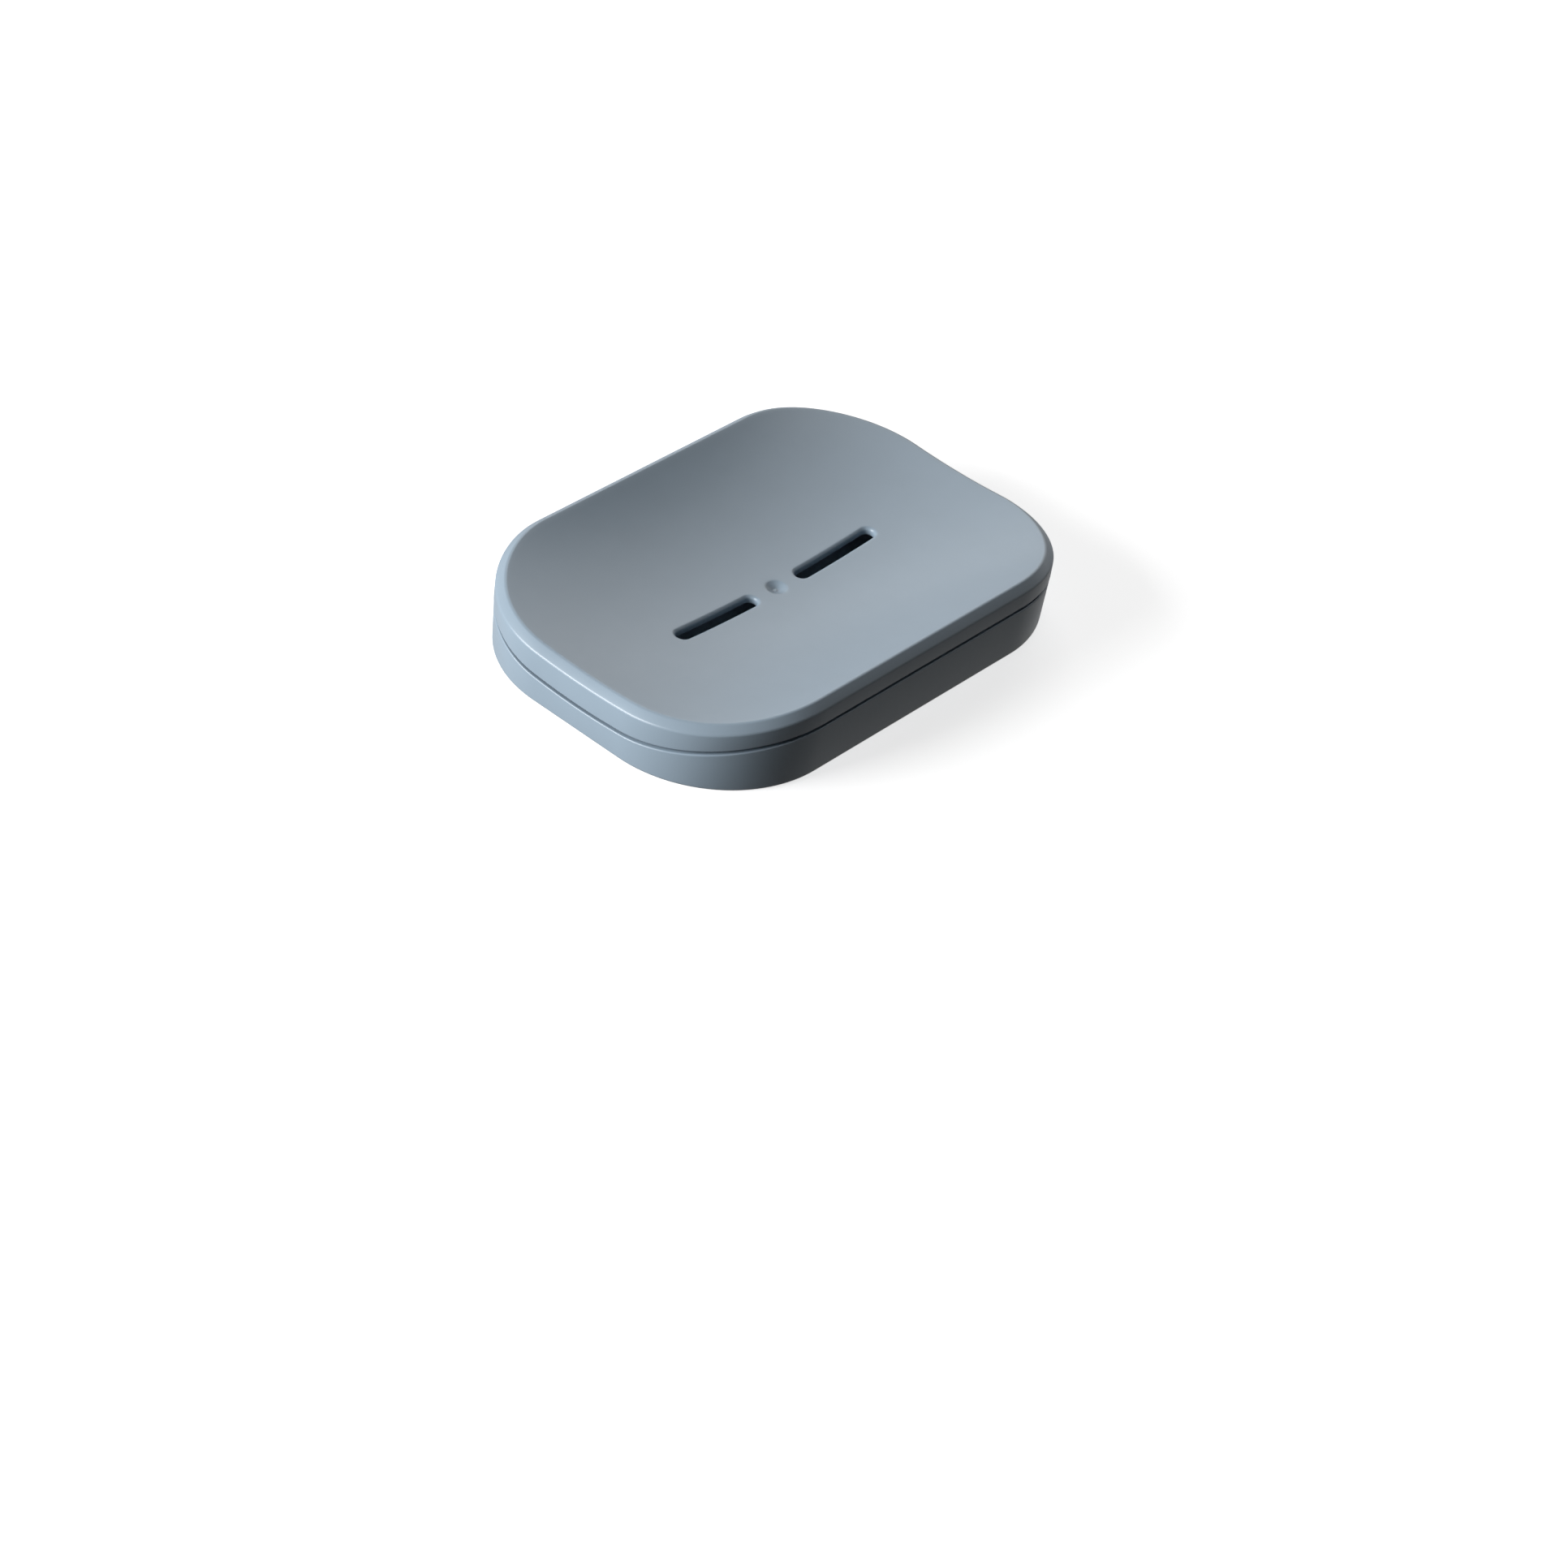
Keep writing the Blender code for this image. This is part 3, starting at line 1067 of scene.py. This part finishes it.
@dataclass(frozen=True)
class PhotoCamera:
    """The camera at the photograph's viewing angle."""

    aim: Vector = field(default_factory=lambda: Vector((-54.34, -51.61, 10.0)) * MM)
    azimuth: float = -53.50
    elevation: float = 38.14
    roll: float = 9.07
    distance: float = 920.3 * MM
    lens: float = 94.59
    sensor_width: float = 36.0
    clip_start: float = 10 * MM

    def build(self) -> None:
        """Adds the camera and makes it the scene's."""
        turn = math.radians(self.azimuth)
        rise = math.radians(self.elevation)
        back = Vector(
            (math.sin(turn) * math.cos(rise), -math.cos(turn) * math.cos(rise), math.sin(rise))
        )
        data = bpy.data.cameras.new("photo_camera")
        data.sensor_fit = "HORIZONTAL"
        data.sensor_width = self.sensor_width
        data.lens = self.lens
        data.clip_start = self.clip_start
        camera = bpy.data.objects.new("photo_camera", data)
        camera.rotation_mode = "QUATERNION"
        level = back.to_track_quat("Z", "Y")
        camera.rotation_quaternion = level @ Quaternion((0, 0, 1), math.radians(self.roll))
        camera.location = self.aim + back * self.distance
        bpy.context.scene.collection.objects.link(camera)
        bpy.context.scene.camera = camera


@dataclass(frozen=True)
class Lamp:
    """A softbox that points at the dish. Lengths are in metres, and the power is in watts."""

    name: str
    direction: tuple[float, float, float]
    distance: float
    width: float
    height: float
    power: float

    def build(self) -> None:
        """Adds the lamp."""
        data = bpy.data.lights.new(self.name, "AREA")
        data.shape = "RECTANGLE"
        data.size = self.width
        data.size_y = self.height
        data.energy = self.power
        lamp = bpy.data.objects.new(self.name, data)
        towards = Vector(self.direction).normalized()
        lamp.rotation_mode = "QUATERNION"
        lamp.rotation_quaternion = towards.to_track_quat("Z", "Y")
        lamp.location = towards * self.distance
        bpy.context.scene.collection.objects.link(lamp)


@dataclass(frozen=True)
class Studio:
    """A pale floor, an even surround and softboxes.

    To the camera the floor is pale. Near the dish it glows a little less than white, so that the
    dish's shadow shows, and at `floor_far` it is white. It throws little light back at the dish,
    and a gloss sees it at the strength of `floor_sheen`.
    """

    lamps: tuple[Lamp, ...]
    floor_half_size: float = 3.0
    floor_white: str = "F4F4F4"
    floor_bounce: str = "2E2E30"
    floor_glow: float = 0.72
    floor_far: float = 1.2
    floor_far_glow: float = 1.0
    floor_sheen: float = 0.44
    surround: str = "FFFFFF"
    surround_fill: float = 0.03
    surround_glow: float = 1.0

    def build(self) -> None:
        """Adds the floor, the surround and the lamps."""
        self._floor()
        self._surround()
        for lamp in self.lamps:
            lamp.build()

    def _seen(self, tree: bpy.types.NodeTree) -> bpy.types.NodeSocket:
        """Adds nodes that tell rays that see from rays that light.

        Args:
            tree: The node tree of a material or of the world.

        Returns:
            A socket that is one for what the camera, a gloss or a clear thing sees.
        """
        path = add_node(tree, "ShaderNodeLightPath").outputs
        seen = path["Is Camera Ray"]
        for ray in ("Is Glossy Ray", "Is Transmission Ray"):
            either = add_node(
                tree,
                "ShaderNodeMath",
                settings={"operation": "MAXIMUM"},
                links={0: seen, 1: path[ray]},
            )
            seen = either.outputs["Value"]
        return seen

    def _floor(self) -> None:
        """Adds a wide level sheet that is white to the camera and keeps the dish's shadow."""
        material = bpy.data.materials.new("studio_floor")
        material.use_nodes = True
        tree = material.node_tree
        tree.nodes.clear()
        path = add_node(tree, "ShaderNodeLightPath").outputs
        paint = add_node(
            tree,
            "ShaderNodeMix",
            settings={"data_type": "RGBA"},
            values={
                MIX_FIRST_COLOUR: colour(self.floor_bounce),
                MIX_SECOND_COLOUR: colour(self.floor_white),
            },
            links={MIX_FACTOR: path["Is Camera Ray"]},
        )
        mixed = paint.outputs[MIX_RESULT_COLOUR]
        matte = add_node(tree, "ShaderNodeBsdfDiffuse", links={"Color": mixed})
        place = add_node(tree, "ShaderNodeTexCoord").outputs["Object"]
        distance = add_node(
            tree, "ShaderNodeVectorMath", settings={"operation": "LENGTH"}, links={0: place}
        )
        white = add_node(
            tree,
            "ShaderNodeMapRange",
            values={
                "From Max": self.floor_far,
                "To Min": self.floor_glow,
                "To Max": self.floor_far_glow,
            },
            links={"Value": distance.outputs["Value"]},
        )
        level = add_node(
            tree,
            "ShaderNodeMapRange",
            values={"To Min": self.floor_sheen},
            links={"Value": path["Is Camera Ray"], "To Max": white.outputs["Result"]},
        )
        strength = add_node(
            tree,
            "ShaderNodeMath",
            settings={"operation": "MULTIPLY"},
            links={0: level.outputs["Result"], 1: self._seen(tree)},
        )
        glow = add_node(
            tree, "ShaderNodeEmission", links={"Strength": strength.outputs["Value"]}
        )
        both = add_node(
            tree,
            "ShaderNodeAddShader",
            links={0: matte.outputs["BSDF"], 1: glow.outputs["Emission"]},
        )
        add_node(tree, "ShaderNodeOutputMaterial", links={"Surface": both.outputs["Shader"]})
        bm = bmesh.new()
        bmesh.ops.create_grid(bm, x_segments=1, y_segments=1, size=self.floor_half_size)
        floor = add_piece("studio_floor", bm, material)

    def _surround(self) -> None:
        """Adds an even faint light from all round, which is white where it is seen."""
        world = bpy.data.worlds.new("studio_surround")
        world.use_nodes = True
        tree = world.node_tree
        tree.nodes.clear()
        strength = add_node(
            tree,
            "ShaderNodeMapRange",
            values={"To Min": self.surround_fill, "To Max": self.surround_glow},
            links={"Value": self._seen(tree)},
        )
        light = add_node(
            tree,
            "ShaderNodeBackground",
            values={"Color": colour(self.surround)},
            links={"Strength": strength.outputs["Result"]},
        )
        add_node(tree, "ShaderNodeOutputWorld", links={"Surface": light.outputs["Background"]})
        bpy.context.scene.world = world


def main() -> None:
    """Builds the camera, the trays and the studio, and reports each piece."""
    logging.basicConfig(level=logging.INFO, format="%(name)s: %(message)s")
    scene = bpy.context.scene
    scene.view_settings.view_transform = "Standard"
    PhotoCamera().build()
    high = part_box("soap_tray")[1]
    form = DishForm(half_length=high[0], half_width=high[1])
    blue_grey = "98AAB9"
    soap_plastic = MouldedPolypropylene("soap_tray_polypropylene", blue_grey).build()
    water_plastic = MouldedPolypropylene("water_tray_polypropylene", blue_grey).build()
    for tray in (WaterTray(form, water_plastic), SoapTray(form, soap_plastic)):
        piece = tray.build()
        log.info("%s: %d faces", piece.name, len(piece.data.polygons))
    window = Lamp(
        name="window_softbox",
        direction=(-0.835, 0.47, 0.29),
        distance=1.6,
        width=1.1,
        height=0.85,
        power=38.0,
    )
    back = Lamp(
        name="back_softbox",
        direction=(0.63, 0.47, 0.62),
        distance=1.6,
        width=1.2,
        height=1.2,
        power=5.9,
    )
    Studio((window, back)).build()


if __name__ == "__main__":
    main()
